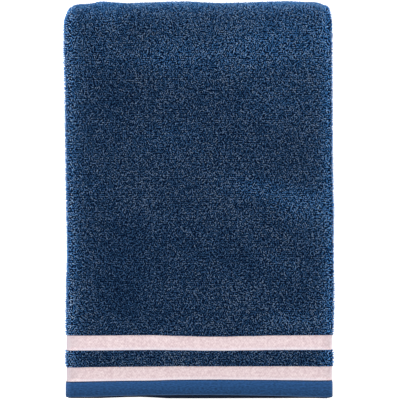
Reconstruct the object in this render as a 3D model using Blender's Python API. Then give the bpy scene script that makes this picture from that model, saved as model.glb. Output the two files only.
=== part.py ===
"""A folded terry bath towel, in metres, lying flat with +Z up.

The cloth is one sheet of 0.70 by 1.40 m. It is folded in three across its
width, which makes a slab of three layers, and then in half twice along its
length, which stacks four slabs. The clean middle third of one end lies on top,
with its stitched hem towards -Y and the big fold towards +Y.

Every point of the cloth is named by a column (how far across the towel), a row
(how far along it) and an offset (which side of the cloth's middle it is on).
The folds turn those three into a place in space.
"""

from typing import NamedTuple

import bpy
import numpy as np

MM = 0.001

# The cloth
CLOTH_WIDTH = 700 * MM
CLOTH_LENGTH = 1400 * MM
PILE_THICKNESS = 4.2 * MM
SIDE_HEM_WIDTH = 9 * MM
SIDE_HEM_THICKNESS = 2.6 * MM
STEP_LENGTH = 1.4 * MM  # over which the cloth changes from one thickness to the next

# The folds
LAYER_GAP = 0.4 * MM
SLAB_GAP = 0.5 * MM
FOLDED_WIDTH = 241.8 * MM
INNER_THIRD_INSET = 21 * MM  # from the free edge of the inner third to the wrapped side
FRONT_FOLD_INSET = 3.8 * MM  # from the front fold to the lower hem's edge
UPPER_HEM_RETREAT = 1.1 * MM  # of the upper hem's edge behind the lower one, at its ends
UPPER_HEM_BOW = 2.2 * MM  # more of it, at the middle
BOW_FADE_LENGTH = 90 * MM
FOLD_SQUARENESS = 2.3  # exponent of the big fold's profile: 2 is round, more is squarer
FOLD_DEPTH = 0.96  # of the big fold, as a share of half the towel's height
END_DROOP = 6.5 * MM  # of the top at the hem, where the thin bands lie on each other
DROOP_LENGTH = 50 * MM

# Steps of the grid
TIGHT_FOLD_STEPS = 4
WRAP_FOLD_STEPS = 6
BIG_FOLD_STEPS = 8
FRONT_FOLD_STEPS = 6
ACROSS_STEPS = 7
PLAIN_ROW_STEP = 38 * MM
LENGTH_SAMPLES = 361  # points that measure the big fold's length


class Stripe(NamedTuple):
    """One woven part of the towel's end, seen from above."""

    material: str
    width: float
    thickness: float


END_STRIPES = (
    Stripe("hem", 15.0 * MM, 2.6 * MM),
    Stripe("band", 12.8 * MM, 1.5 * MM),
    Stripe("pile", 15.1 * MM, 4.1 * MM),
    Stripe("band", 13.2 * MM, 1.5 * MM),
)


class Edge(NamedTuple):
    """How far the two sides of a slab stand out, at a distance along the towel."""

    along: float
    wrapped: float
    tight: float


EDGES = (
    Edge(0 * MM, -0.3 * MM, -0.1 * MM),
    Edge(13 * MM, -0.4 * MM, -0.3 * MM),
    Edge(18 * MM, -0.9 * MM, -0.5 * MM),
    Edge(26 * MM, -0.9 * MM, -0.5 * MM),
    Edge(29.5 * MM, -0.8 * MM, 0.0 * MM),
    Edge(41.5 * MM, -0.8 * MM, 0.0 * MM),
    Edge(45 * MM, -0.9 * MM, -0.6 * MM),
    Edge(54 * MM, -0.9 * MM, -0.6 * MM),
    Edge(58 * MM, -1.0 * MM, 0.0 * MM),
    Edge(97 * MM, -1.3 * MM, 0.7 * MM),
    Edge(133 * MM, -2.6 * MM, 0.2 * MM),
    Edge(170 * MM, -1.5 * MM, 0.5 * MM),
    Edge(206 * MM, -0.9 * MM, -0.5 * MM),
    Edge(260 * MM, -0.3 * MM, -0.8 * MM),
    Edge(320 * MM, 0.9 * MM, -1.1 * MM),
    Edge(420 * MM, -0.6 * MM, -1.4 * MM),
    Edge(540 * MM, -2.0 * MM, -0.4 * MM),
    Edge(640 * MM, -0.9 * MM, -1.6 * MM),
    Edge(740 * MM, -1.4 * MM, -1.0 * MM),
    Edge(860 * MM, -2.6 * MM, 0.1 * MM),
    Edge(1060 * MM, -1.2 * MM, -1.5 * MM),
    Edge(1200 * MM, -1.9 * MM, -0.8 * MM),
    Edge(1400 * MM, -1.0 * MM, -1.2 * MM),
)


class Retreat(NamedTuple):
    """How far the big fold lies behind its foremost line, at a place across."""

    across: float
    depth: float


BIG_FOLD_LINE = (
    Retreat(-121 * MM, 6.0 * MM),
    Retreat(-108 * MM, 2.9 * MM),
    Retreat(-98 * MM, 2.3 * MM),
    Retreat(-88 * MM, 0.3 * MM),
    Retreat(-66 * MM, 1.7 * MM),
    Retreat(-13 * MM, 0.3 * MM),
    Retreat(20 * MM, 1.7 * MM),
    Retreat(82 * MM, 0.1 * MM),
    Retreat(104 * MM, 0.9 * MM),
    Retreat(121 * MM, 5.0 * MM),
)
BIG_FOLD_FADE = 60 * MM


class Corner(NamedTuple):
    """How far a side draws in at the big fold, and over what width."""

    draw_in: float
    reach: float


WRAPPED_CORNER = Corner(3.2 * MM, 26 * MM)
TIGHT_CORNER = Corner(1.6 * MM, 16 * MM)


class Crown(NamedTuple):
    """How far the top falls towards a rim, and over what width."""

    drop: float
    reach: float


SIDE_CROWN = Crown(2.2 * MM, 26 * MM)
BACK_CROWN = Crown(2.4 * MM, 55 * MM)


class Swell(NamedTuple):
    """One slow wave of the towel's height."""

    height: float
    across: float
    along: float
    phase: float


SWELLS = (
    Swell(0.35 * MM, 310 * MM, 420 * MM, 0.6),
    Swell(0.30 * MM, 260 * MM, 240 * MM, 2.1),
)

# Sizes that follow
LAYER_PITCH = PILE_THICKNESS + LAYER_GAP
SLAB_THICKNESS = 3 * PILE_THICKNESS + 2 * LAYER_GAP
SLAB_PITCH = SLAB_THICKNESS + SLAB_GAP
HEIGHT = 4 * SLAB_THICKNESS + 3 * SLAB_GAP
TIGHT_RADIUS = LAYER_PITCH / 2
WRAP_RADIUS = LAYER_PITCH
MIDDLE_WIDTH = FOLDED_WIDTH - TIGHT_RADIUS - WRAP_RADIUS - PILE_THICKNESS
INNER_WIDTH = MIDDLE_WIDTH + WRAP_RADIUS + PILE_THICKNESS / 2 - INNER_THIRD_INSET
FOLD_ARCS = np.pi * (TIGHT_RADIUS + WRAP_RADIUS)
OUTER_WIDTH = CLOTH_WIDTH - FOLD_ARCS - MIDDLE_WIDTH - INNER_WIDTH
TIGHT_X = MIDDLE_WIDTH / 2 + (WRAP_RADIUS - TIGHT_RADIUS) / 2
WRAP_X = TIGHT_X - MIDDLE_WIDTH
TIGHT_DEPTH = PILE_THICKNESS + LAYER_GAP / 2  # of the tight fold's axis in the slab
WRAP_DEPTH = SLAB_THICKNESS / 2
FRONT_RADIUS = SLAB_PITCH / 2
INNER_RADIUS = SLAB_PITCH / 2
OUTER_RADIUS = 1.5 * SLAB_PITCH
LOWER_HALF_TOP = 2 * SLAB_PITCH - SLAB_GAP / 2

COLOURS = {"pile": "#2A4469", "band": "#EBD8DA", "hem": "#2B4E7C"}
ROUGHNESS = {"pile": 0.95, "band": 0.75, "hem": 0.8}


def eased(x, places, values):
    """A smooth line through the rows of a table, level at each row."""
    places = np.asarray(places)
    values = np.asarray(values)
    x = np.clip(x, places[0], places[-1])
    left = np.clip(np.searchsorted(places, x) - 1, 0, len(places) - 2)
    share = (x - places[left]) / (places[left + 1] - places[left])
    share = share * share * (3 - 2 * share)
    return values[left] + (values[left + 1] - values[left]) * share


def smooth(x):
    """0 below 0, 1 above 1 and an S-shaped ease between."""
    x = np.clip(x, 0, 1)
    return x * x * (3 - 2 * x)


def squared_radius(angle):
    """The big fold's radius at an angle, as a share of its radius at the top."""
    n = FOLD_SQUARENESS
    return (np.abs(np.cos(angle)) ** n + np.abs(np.sin(angle)) ** n) ** (-1 / n)


def big_fold_point(radius, angle):
    """(y, z) from the big fold's axis, for arrays of radius and angle."""
    reach = radius * squared_radius(angle)
    return FOLD_DEPTH * reach * np.cos(angle), reach * np.sin(angle)


def big_fold_length(radius):
    """The length of half a turn of the big fold, summed over short steps."""
    y, z = big_fold_point(radius, np.linspace(-np.pi / 2, np.pi / 2, LENGTH_SAMPLES))
    return float(np.hypot(np.diff(y), np.diff(z)).sum())


class Columns(NamedTuple):
    """The cloth across its width, as one array for each of these."""

    x: np.ndarray
    depth: np.ndarray  # in the slab, from the face of the middle third
    normal_x: np.ndarray  # of the cloth, towards that face's side
    normal_depth: np.ndarray
    thickness: np.ndarray


def layer_columns(x, depth, facing):
    """A flat layer of the slab; facing is -1 where its normal points up."""
    zeros = 0 * x
    return x, zeros + depth, zeros, zeros + facing


def side_fold_columns(side, axis_x, axis_depth, radius, steps):
    """Half a turn about an axis, bulging to one side, for the places between its
    two layers and at them. It goes down the slab on the wrapped side, at -1, and
    up it on the tight side, at +1."""
    turn = -side * (np.linspace(0, np.pi, steps + 1) - np.pi / 2)
    x, depth = side * np.cos(turn), np.sin(turn)
    return axis_x + radius * x, axis_depth + radius * depth, x, depth


def columns():
    """From the free edge of the inner third to the tight fold, back through the
    middle third to the wrapping fold, and on under the inner third to the free
    edge of the outer third. The three layers share their places across."""
    middle = np.linspace(TIGHT_X, WRAP_X, ACROSS_STEPS + 1)
    half_step = STEP_LENGTH / 2
    hem = np.array([0, SIDE_HEM_WIDTH - half_step, SIDE_HEM_WIDTH + half_step])
    inner_hem = TIGHT_X - INNER_WIDTH + hem
    outer_hem = WRAP_X + OUTER_WIDTH - hem
    inner_plain = middle[middle > inner_hem[-1] + half_step][:0:-1]
    outer_plain = middle[middle < outer_hem[-1] - half_step][-2::-1]
    parts = [
        layer_columns(np.concatenate([inner_hem, inner_plain]), TIGHT_DEPTH + TIGHT_RADIUS, 1),
        side_fold_columns(1, TIGHT_X, TIGHT_DEPTH, TIGHT_RADIUS, TIGHT_FOLD_STEPS),
        layer_columns(middle[1:-1], PILE_THICKNESS / 2, -1),
        side_fold_columns(-1, WRAP_X, WRAP_DEPTH, WRAP_RADIUS, WRAP_FOLD_STEPS),
        layer_columns(np.concatenate([outer_plain, outer_hem[::-1]]), WRAP_DEPTH + WRAP_RADIUS, 1),
    ]
    joined = [np.concatenate(part) for part in zip(*parts)]
    thickness = np.full(len(joined[0]), PILE_THICKNESS)
    thickness[:2] = thickness[-2:] = SIDE_HEM_THICKNESS
    return Columns(*joined, thickness)


class Rows(NamedTuple):
    """The cloth along its length, as one array for each of these."""

    y: np.ndarray  # on a flat slab, from the front; 0 on a fold
    axis_y: np.ndarray  # of a fold
    axis_z: np.ndarray
    radius: np.ndarray  # of the slab's middle about that axis, 0 on a flat slab
    angle: np.ndarray  # 0 towards +Y
    middle_z: np.ndarray  # of a flat slab
    outward: np.ndarray  # +1 where the middle third faces up or away from the axis
    along: np.ndarray
    thickness: np.ndarray
    end: np.ndarray  # distance from the nearer hem's edge, or a large number


def end_stations():
    """Rows of an end, from its hem's edge, with the thickness at each."""
    places, thickness = [0.0], [END_STRIPES[0].thickness]
    edge = 0.0
    following = [stripe.thickness for stripe in END_STRIPES[1:]] + [PILE_THICKNESS]
    for stripe, after in zip(END_STRIPES, following):
        edge += stripe.width
        places += [edge - STEP_LENGTH / 2, edge + STEP_LENGTH / 2]
        thickness += [stripe.thickness, after]
    return np.array(places), np.array(thickness)


def flat_rows(y, level, outward, along, thickness, end):
    """Rows of a flat slab; level 0 is the bottom slab."""
    zeros = 0 * y
    middle_z = zeros + SLAB_THICKNESS / 2 + level * SLAB_PITCH
    return y, zeros, zeros, zeros, zeros, middle_z, zeros + outward, along, thickness + zeros, end + zeros


def fold_rows(turn, axis_y, axis_z, radius, outward, start, length):
    """Rows of a fold about an axis, at the angles of turn."""
    zeros = 0 * turn
    along = start + length * np.linspace(0, 1, len(turn))
    thickness = zeros + PILE_THICKNESS
    axis = zeros + axis_y, zeros + axis_z
    return zeros, *axis, zeros + radius, turn, zeros, zeros + outward, along, thickness, zeros + CLOTH_LENGTH


def rows():
    """In order: upper end, big fold outside, bottom slab, front fold, second
    slab, big fold inside, lower end. The flat lengths are what the folds leave
    of the cloth's length, and the four slabs share their places along it."""
    outer_length = big_fold_length(OUTER_RADIUS)
    inner_length = big_fold_length(INNER_RADIUS)
    front_length = np.pi * FRONT_RADIUS
    front_axis = FRONT_FOLD_INSET + FRONT_RADIUS + SLAB_THICKNESS / 2
    flat_length = CLOTH_LENGTH + UPPER_HEM_RETREAT - outer_length - inner_length - front_length
    big_axis = (flat_length / 2 + front_axis) / 2
    short_flat = big_axis - front_axis
    end_places, end_thickness = end_stations()
    plain = np.linspace(end_places[-1], big_axis, 1 + round((big_axis - end_places[-1]) / PLAIN_ROW_STEP))
    ends = np.concatenate([end_places, plain[1:-1]])
    ends_thickness = np.concatenate([end_thickness, np.full(len(plain) - 2, PILE_THICKNESS)])
    under = np.concatenate([[(front_axis + plain[0]) / 2], plain[:-1]])
    big_turn = np.linspace(np.pi / 2, -np.pi / 2, BIG_FOLD_STEPS + 1)
    front_turn = -np.linspace(np.pi / 2, 3 * np.pi / 2, FRONT_FOLD_STEPS + 1)
    front_height = SLAB_THICKNESS / 2 + SLAB_PITCH / 2
    bottom_start = big_axis + outer_length
    front_start = bottom_start + short_flat
    second_start = front_start + front_length
    inner_start = second_start + short_flat
    lower_start = inner_start + inner_length
    bottom_along = bottom_start + big_axis - under[::-1]
    second_along = second_start + under - front_axis
    lower_along = lower_start + big_axis - ends[::-1]
    parts = [
        flat_rows(ends, 3, 1, ends, ends_thickness, ends),
        fold_rows(big_turn, big_axis, HEIGHT / 2, OUTER_RADIUS, 1, big_axis, outer_length),
        flat_rows(under[::-1], 0, -1, bottom_along, PILE_THICKNESS, CLOTH_LENGTH),
        fold_rows(front_turn, front_axis, front_height, FRONT_RADIUS, 1, front_start, front_length),
        flat_rows(under, 1, 1, second_along, PILE_THICKNESS, CLOTH_LENGTH),
        fold_rows(big_turn[::-1], big_axis, HEIGHT / 2, INNER_RADIUS, -1, inner_start, inner_length),
        flat_rows(ends[::-1], 2, -1, lower_along, ends_thickness[::-1], ends[::-1]),
    ]
    return Rows(*(np.concatenate(part) for part in zip(*parts)))


def folded(x, depth, row):
    """Places of points at (across, depth in the slab) on each row, as x, y, z.

    On a flat slab the depth is taken off its height. On a fold it is taken off
    the radius, or added to it where the middle third faces the fold's axis.
    """
    lift = (SLAB_THICKNESS / 2 - depth) * row.outward
    on_fold = row.radius > 0
    fold_y, fold_z = big_fold_point(row.radius + lift, row.angle)
    front = row.axis_y < row.axis_y.max()
    fold_y = np.where(front, (row.radius + lift) * np.cos(row.angle), fold_y)
    fold_z = np.where(front, (row.radius + lift) * np.sin(row.angle), fold_z)
    y = np.where(on_fold, row.axis_y + fold_y, row.y)
    z = np.where(on_fold, row.axis_z + fold_z, row.middle_z + lift)
    return np.stack(np.broadcast_arrays(x, y, z), -1)


def settle_ends(points, row):
    """The two hemmed ends press together towards their edge, without changing
    their own thickness, and the upper one's edge bows back at its middle."""
    near = np.clip(1 - row.end / DROOP_LENGTH, 0, 1) ** 2
    above = np.maximum(points[..., 2] - LOWER_HALF_TOP, 0)
    drop = above * near * END_DROOP / (HEIGHT - LOWER_HALF_TOP)
    upper = (row.end < CLOTH_LENGTH) & (row.middle_z > LOWER_HALF_TOP + SLAB_PITCH)
    across = points[..., 0] / (FOLDED_WIDTH / 2)
    bow = UPPER_HEM_RETREAT + UPPER_HEM_BOW * np.clip(1 - across**2, 0, 1)
    fade = np.clip(1 - row.end / BOW_FADE_LENGTH, 0, 1) ** 2
    back = np.where(upper, bow * fade, 0)
    return points + np.stack([0 * drop, back, -drop], -1)


def loosen(points, row):
    """Moves the folded cloth as a real one lies: sides that stand out or in,
    rounded back corners, a big fold that isn't straight, and a top that falls
    towards its rims, with slow swells. The underside stays flat."""
    x, y, z = points[..., 0], points[..., 1], points[..., 2]
    big_axis = row.axis_y.max()
    along = [edge.along for edge in EDGES]
    wrapped = eased(row.along, along, [edge.wrapped for edge in EDGES])
    tight = eased(row.along, along, [edge.tight for edge in EDGES])
    share = x / FOLDED_WIDTH + 0.5
    x_shift = tight * share - wrapped * (1 - share)
    turned = smooth((y - big_axis) / (FOLD_DEPTH * HEIGHT / 2)) ** 2
    side = FOLDED_WIDTH / 2
    for corner, sign in ((WRAPPED_CORNER, -1), (TIGHT_CORNER, 1)):
        x_shift = x_shift - sign * corner.draw_in * turned * smooth((sign * x - side) / corner.reach + 1)
    line = eased(x, [r.across for r in BIG_FOLD_LINE], [r.depth for r in BIG_FOLD_LINE])
    y_shift = -line * smooth((y - big_axis) / BIG_FOLD_FADE + 0.5)
    swell = sum(
        s.height * np.sin(2 * np.pi * x / s.across + s.phase) * np.cos(2 * np.pi * y / s.along + s.phase)
        for s in SWELLS
    )
    back = big_axis + FOLD_DEPTH * HEIGHT / 2
    fall = SIDE_CROWN.drop * np.clip(1 - (side - np.abs(x)) / SIDE_CROWN.reach, 0, 1) ** 2
    fall = fall + BACK_CROWN.drop * np.clip(1 - (back - y) / BACK_CROWN.reach, 0, 1) ** 2
    return points + np.stack([x_shift, y_shift, z * (swell - fall) / HEIGHT], -1)


def cloth_faces():
    """Two arrays of points, rows by columns: one for each face of the cloth."""
    column = Columns(*(part[None, :] for part in columns()))
    row = Rows(*(part[:, None] for part in rows()))
    centre = folded(column.x, column.depth, row)
    normal = folded(column.x + column.normal_x * MM, column.depth + column.normal_depth * MM, row) - centre
    normal /= np.linalg.norm(normal, axis=-1, keepdims=True)
    half = np.minimum(column.thickness, row.thickness)[..., None] / 2
    centre = settle_ends(centre, row)
    return [loosen(centre + side * half * normal, row) for side in (1, -1)]


def shell_quads(row_count, column_count):
    """Corner numbers of the closed shell round two grids of points."""
    size = row_count * column_count
    grid = np.arange(size).reshape(row_count, column_count)
    under = grid + size
    a, b = grid[:-1, :-1].ravel(), grid[:-1, 1:].ravel()
    c, d = grid[1:, 1:].ravel(), grid[1:, :-1].ravel()
    rim = np.concatenate([grid[0, :], grid[1:, -1], grid[-1, -2::-1], grid[-2::-1, 0]])
    rim_under = np.concatenate([under[0, :], under[1:, -1], under[-1, -2::-1], under[-2::-1, 0]])
    return np.concatenate(
        [
            np.stack([a, d, c, b], 1),
            np.stack([a, b, c, d], 1) + size,
            np.stack([rim[:-1], rim[1:], rim_under[1:], rim_under[:-1]], 1),
        ]
    )


def stripe_of_row():
    """The material of the cloth in front of each row but the last."""
    row = rows()
    middle = (row.end[:-1] + row.end[1:]) / 2
    found = np.full(len(middle), list(COLOURS).index("pile"))
    edge = 0.0
    for stripe in END_STRIPES:
        inside = (middle > edge) & (middle <= edge + stripe.width)
        found[inside] = list(COLOURS).index(stripe.material)
        edge += stripe.width
    return found


def linear(value):
    """One sRGB channel, 0 to 1, as linear light."""
    return value / 12.92 if value <= 0.04045 else ((value + 0.055) / 1.055) ** 2.4


def cloth_material(name):
    """The Principled material of one weave."""
    material = bpy.data.materials.new(name)
    material.use_nodes = True
    shader = material.node_tree.nodes["Principled BSDF"]
    digits = COLOURS[name].lstrip("#")
    colour = [linear(int(digits[i : i + 2], 16) / 255) for i in (0, 2, 4)]
    shader.inputs["Base Color"].default_value = (*colour, 1)
    shader.inputs["Roughness"].default_value = ROUGHNESS[name]
    shader.inputs["Metallic"].default_value = 0
    material.diffuse_color = (*colour, 1)
    return material


def build_towel():
    """The folded towel, standing on z = 0 with its box centred on the z axis."""
    outer, inner = cloth_faces()
    row_count, column_count = outer.shape[:2]
    points = np.concatenate([outer.reshape(-1, 3), inner.reshape(-1, 3)])
    middle = (points.min(0) + points.max(0)) / 2
    points -= (middle[0], middle[1], points[:, 2].min())
    quads = shell_quads(row_count, column_count)
    mesh = bpy.data.meshes.new("towel")
    mesh.from_pydata(points.tolist(), [], quads.tolist())
    for name in COLOURS:
        mesh.materials.append(cloth_material(name))
    by_face = np.repeat(stripe_of_row(), column_count - 1)
    rim_count = len(quads) - 2 * len(by_face)
    rim = np.full(rim_count, list(COLOURS).index("hem"))
    mesh.polygons.foreach_set("material_index", np.concatenate([by_face, by_face, rim]).astype(np.int32))
    mesh.update()
    mesh.validate()
    towel = bpy.data.objects.new("towel", mesh)
    bpy.context.scene.collection.objects.link(towel)
    return towel


def main():
    """Clears the scene and builds the towel."""
    for old in list(bpy.data.objects):
        bpy.data.objects.remove(old)
    build_towel()


main()
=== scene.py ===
"""The looks of a folded terry bath towel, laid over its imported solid.

The cloth is one fine sheet on the solid's own folds. Its pile is thousands of
yarn loops that stand on every side of the stack that shows. The flat woven
stripes and the ribbed hem are finishes of the sheet itself.
"""

import logging
from collections.abc import Callable, Iterable
from dataclasses import dataclass
from enum import Enum
from functools import partial

import bpy
import numpy as np
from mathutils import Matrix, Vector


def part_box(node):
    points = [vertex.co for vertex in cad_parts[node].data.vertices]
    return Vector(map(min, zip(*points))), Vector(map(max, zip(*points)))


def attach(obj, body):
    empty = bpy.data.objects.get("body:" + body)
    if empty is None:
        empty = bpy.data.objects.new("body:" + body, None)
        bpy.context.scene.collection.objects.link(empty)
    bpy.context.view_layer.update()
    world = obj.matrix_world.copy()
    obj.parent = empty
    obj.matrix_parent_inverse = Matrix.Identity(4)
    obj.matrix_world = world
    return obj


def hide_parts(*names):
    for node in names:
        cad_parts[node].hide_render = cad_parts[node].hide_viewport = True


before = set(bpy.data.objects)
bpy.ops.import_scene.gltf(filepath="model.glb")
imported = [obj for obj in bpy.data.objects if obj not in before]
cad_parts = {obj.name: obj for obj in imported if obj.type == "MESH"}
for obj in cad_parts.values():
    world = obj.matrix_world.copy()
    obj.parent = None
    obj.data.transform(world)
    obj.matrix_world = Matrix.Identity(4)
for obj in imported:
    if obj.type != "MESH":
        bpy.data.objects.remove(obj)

MM = 0.001
NODE = "towel"
BODY = "root"
BAKE_MAP = "OFBake"

log = logging.getLogger("towel")


# Small helpers


def smooth(x: np.ndarray) -> np.ndarray:
    """An S-shaped ease: 0 below 0, 1 above 1.

    Args:
        x: any array.

    Returns:
        3x^2 - 2x^3, with x held between 0 and 1.
    """
    x = np.clip(x, 0, 1)
    return x * x * (3 - 2 * x)


def eased(x: np.ndarray, places: np.ndarray, values: np.ndarray) -> np.ndarray:
    """A smooth line through the rows of a table, level at each row.

    Args:
        x: where to read it.
        places: the rows' places, rising.
        values: the rows' values.

    Returns:
        The values at x, each eased between its two rows.
    """
    x = np.clip(x, places[0], places[-1])
    left = np.clip(np.searchsorted(places, x) - 1, 0, len(places) - 2)
    share = smooth((x - places[left]) / (places[left + 1] - places[left]))
    return values[left] + (values[left + 1] - values[left]) * share


def bell(x: np.ndarray, width: float) -> np.ndarray:
    """A bell curve: 1 at 0, and 1/e a width away."""
    return np.exp(-((x / width) ** 2))


def unit(vectors: np.ndarray) -> np.ndarray:
    """The vectors at length 1, along the last axis."""
    return vectors / np.maximum(np.linalg.norm(vectors, axis=-1, keepdims=True), 1e-12)


def squared(vectors: np.ndarray, axes: np.ndarray) -> np.ndarray:
    """The vectors turned square to unit axes, at length 1."""
    return unit(vectors - axes * (vectors * axes).sum(-1, keepdims=True))


def soft_noise(x: np.ndarray, y: np.ndarray, size: float, seed: int) -> np.ndarray:
    """Slow uneven patches: random values on a square lattice, eased between.

    Args:
        x: place one way, in metres.
        y: place the other way, in metres.
        size: the lattice's step, in metres.
        seed: which random lattice.

    Returns:
        Values from -1 to 1.
    """
    side = 97
    lattice = np.random.default_rng(seed).uniform(-1, 1, (side, side))
    column, row = x / size, y / size
    i, j = np.floor(column).astype(int), np.floor(row).astype(int)
    u, v = smooth(column - i), smooth(row - j)
    near, far = (
        lattice[k % side, j % side] * (1 - v) + lattice[k % side, (j + 1) % side] * v
        for k in (i, i + 1)
    )
    return near * (1 - u) + far * u


def spread(low: float, high: float, step: float) -> np.ndarray:
    """Even places from low to high, about a step apart, ends included."""
    return np.linspace(low, high, max(2, round((high - low) / step) + 1))


def merged(parts: tuple[np.ndarray, ...]) -> np.ndarray:
    """The parts' places in one rising array, with doubles left out."""
    return np.unique(np.concatenate(parts).round(7))


def quads(*corners: np.ndarray) -> np.ndarray:
    """Four arrays of point numbers as rows of four."""
    return np.stack(corners, -1).reshape(-1, 4)


def linear(hex_colour: str) -> tuple[float, float, float, float]:
    """An sRGB hex colour as the linear values that a socket takes.

    Args:
        hex_colour: six digits after a hash.

    Returns:
        Red, green, blue and an alpha of 1.
    """
    parts = (int(hex_colour[i : i + 2], 16) / 255 for i in (1, 3, 5))
    red, green, blue = (p / 12.92 if p <= 0.04045 else ((p + 0.055) / 1.055) ** 2.4 for p in parts)
    return red, green, blue, 1.0


def set_inputs(node: bpy.types.Node, inputs: dict) -> None:
    """Links or sets a node's inputs.

    Args:
        node: the node.
        inputs: for each input, by name or number, its value, or the socket
            linked to it; a node there stands for its first output.
    """
    for key, value in inputs.items():
        if isinstance(value, bpy.types.Node):
            value = value.outputs[0]
        if isinstance(value, bpy.types.NodeSocket):
            node.id_data.links.new(value, node.inputs[key])
        else:
            node.inputs[key].default_value = value


def add_node(
    tree: bpy.types.NodeTree, kind: str, inputs: dict | None = None, **settings: object
) -> bpy.types.Node:
    """Adds one node.

    Args:
        tree: the tree that it goes in.
        kind: the node's type name, after its first words "ShaderNode".
        inputs: its inputs, as set_inputs takes them.
        settings: the node's own properties.

    Returns:
        The node.
    """
    node = tree.nodes.new("ShaderNode" + kind)
    for name, value in settings.items():
        setattr(node, name, value)
    set_inputs(node, inputs or {})
    return node


def fill_ramp(ramp: bpy.types.Node, stops: Iterable[tuple[float, str]]) -> bpy.types.Node:
    """Sets a colour ramp's stops.

    Args:
        ramp: the Color Ramp node.
        stops: place and sRGB hex colour of each.

    Returns:
        The ramp.
    """
    stops = tuple(stops)
    elements = ramp.color_ramp.elements
    while len(elements) < len(stops):
        elements.new(0.5)
    for element, (place, colour) in zip(elements, stops):
        element.position = place
        element.color = linear(colour)
    return ramp


def make_piece(
    name: str,
    points: np.ndarray,
    faces: list[np.ndarray],
    corner_uv: np.ndarray,
    finishes: list[bpy.types.Material],
) -> bpy.types.Object:
    """Puts arrays into a new mesh object that rides on the towel.

    Args:
        name: the piece's name.
        points: places, one row each.
        faces: arrays of point numbers, each of one width, such as quads.
        corner_uv: a map place for each corner of each face, in order.
        finishes: the materials, in the order of their numbers.

    Returns:
        The object, shaded smooth.
    """
    corners = np.concatenate([part.ravel() for part in faces])
    sizes = np.concatenate([np.full(len(part), part.shape[1]) for part in faces])
    mesh = bpy.data.meshes.new(name)
    mesh.vertices.add(len(points))
    mesh.vertices.foreach_set("co", points.astype(np.float32).ravel())
    mesh.loops.add(len(corners))
    mesh.loops.foreach_set("vertex_index", corners.astype(np.int32))
    mesh.polygons.add(len(sizes))
    mesh.polygons.foreach_set("loop_start", (np.cumsum(sizes) - sizes).astype(np.int32))
    mesh.update(calc_edges=True)
    mesh.uv_layers.new(name=BAKE_MAP).uv.foreach_set("vector", corner_uv.astype(np.float32).ravel())
    mesh.shade_smooth()
    for finish in finishes:
        mesh.materials.append(finish)
    piece = bpy.data.objects.new(name, mesh)
    bpy.context.scene.collection.objects.link(piece)
    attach(piece, BODY)
    log.info("%s: %d points, %d triangles", name, len(points), (sizes - 2).sum())
    return piece


# The folds


class Weave(Enum):
    """What the cloth is woven as; the number is the sheet's material."""

    PILE = 0
    BAND = 1
    HEM = 2


@dataclass(frozen=True)
class Stripe:
    """One woven part of the towel's end, in order from the hem's edge."""

    weave: Weave
    width: float
    half_thickness: float


@dataclass(frozen=True)
class Section:
    """One flat slab, or one fold with a radius, along the towel."""

    name: str
    length: float
    level: int = 0
    outward: int = 1
    radius: float = 0.0
    axis_y: float = 0.0
    axis_z: float = 0.0
    turn_from: float = 0.0
    turn_to: float = 0.0
    y_from: float = 0.0
    y_to: float = 0.0


# How far the sides of a slab stand out, in mm: along the towel, wrapped side, tight side
EDGES = MM * np.array(
    [
        (0, -0.3, -0.1), (13, -0.4, -0.3), (18, -0.9, -0.5), (26, -0.9, -0.5),
        (29.5, -0.8, 0.0), (41.5, -0.8, 0.0), (45, -0.9, -0.6), (54, -0.9, -0.6),
        (58, -1.0, 0.0), (97, -1.3, 0.7), (133, -2.3, 0.2), (170, -1.5, 0.5), (206, -0.9, -0.5),
        (260, -0.3, -0.8), (320, 0.9, -1.1), (420, -0.6, -1.4), (540, -2.0, -0.4), (640, -0.9, -1.6),
        (740, -1.4, -1.0), (860, -2.6, 0.1), (1060, -1.2, -1.5), (1200, -1.9, -0.8), (1400, -1.0, -1.2),
    ]
)
# How far the big fold lies behind its foremost line, in mm: place across, depth
BIG_FOLD_LINE = MM * np.array(
    [
        (-121, 4.6), (-108, 2.7), (-98, 2.3), (-88, 0.3), (-66, 1.7), (-13, 0.3),
        (20, 1.7), (82, 0.1), (104, 0.9), (121, 4.2),
    ]
)
# How far the woven stripes are off their straight line, in mm: place across, at
# the hem's stitch line, at the last band's end
STRIPE_LINES = MM * np.array(
    [
        (-121, -0.2, 0.7), (-80, -0.3, 0.7), (-47, -0.5, 0.9), (-15, 0.1, 0.1), (5, 0.2, -0.5),
        (20, 0.3, -0.5), (45, 0.3, 0.1), (70, 0.5, 0.7), (100, 0.8, 1.0), (121, 1.2, 1.1),
    ]
)
# Soft dents and ridges of the top, in mm but for the turn in degrees: place across,
# place along, half length, half width, turn, rise
DENTS = np.array(
    [
        (5, 128, 110, 21, 0, 0.75), (58, 138, 32, 17, 0, 0.75), (92, 142, 32, 22, 0, 0.75),
        (-81, 166, 16, 12, 0, 0.5), (-28, 127, 20, 11, 0, 0.35), (-53, 150, 12, 18, 0, -0.5),
        (-30, 55, 34, 14, 0, 0.35), (-60, 92, 26, 22, 0, -0.55), (74, 87, 34, 18, 0, 0.45),
        (92, -3, 23, 12, -12, 1.5), (98, -20, 18, 10, 0, 0.4), (50, 9, 26, 9, -8, 0.85),
        (-90, 9, 22, 7, 0, 0.2), (-66, -56, 40, 22, 90, -0.6), (-60, -90, 42, 26, 0, -0.6),
        (-15, -52, 80, 18, 0, -0.45), (-25, -67, 26, 9, 0, -0.35), (30, -53, 22, 9, 0, -0.4),
        (70, -57, 22, 12, -25, 0.45), (48, -69, 12, 10, 0, -0.55), (48, -96, 12, 10, 0, -0.3),
        (100, -90, 18, 12, 0, -0.55), (84, -107, 26, 9, 0, 0.65), (-38, -106, 34, 11, 0, -0.5),
    ]
)
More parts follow.
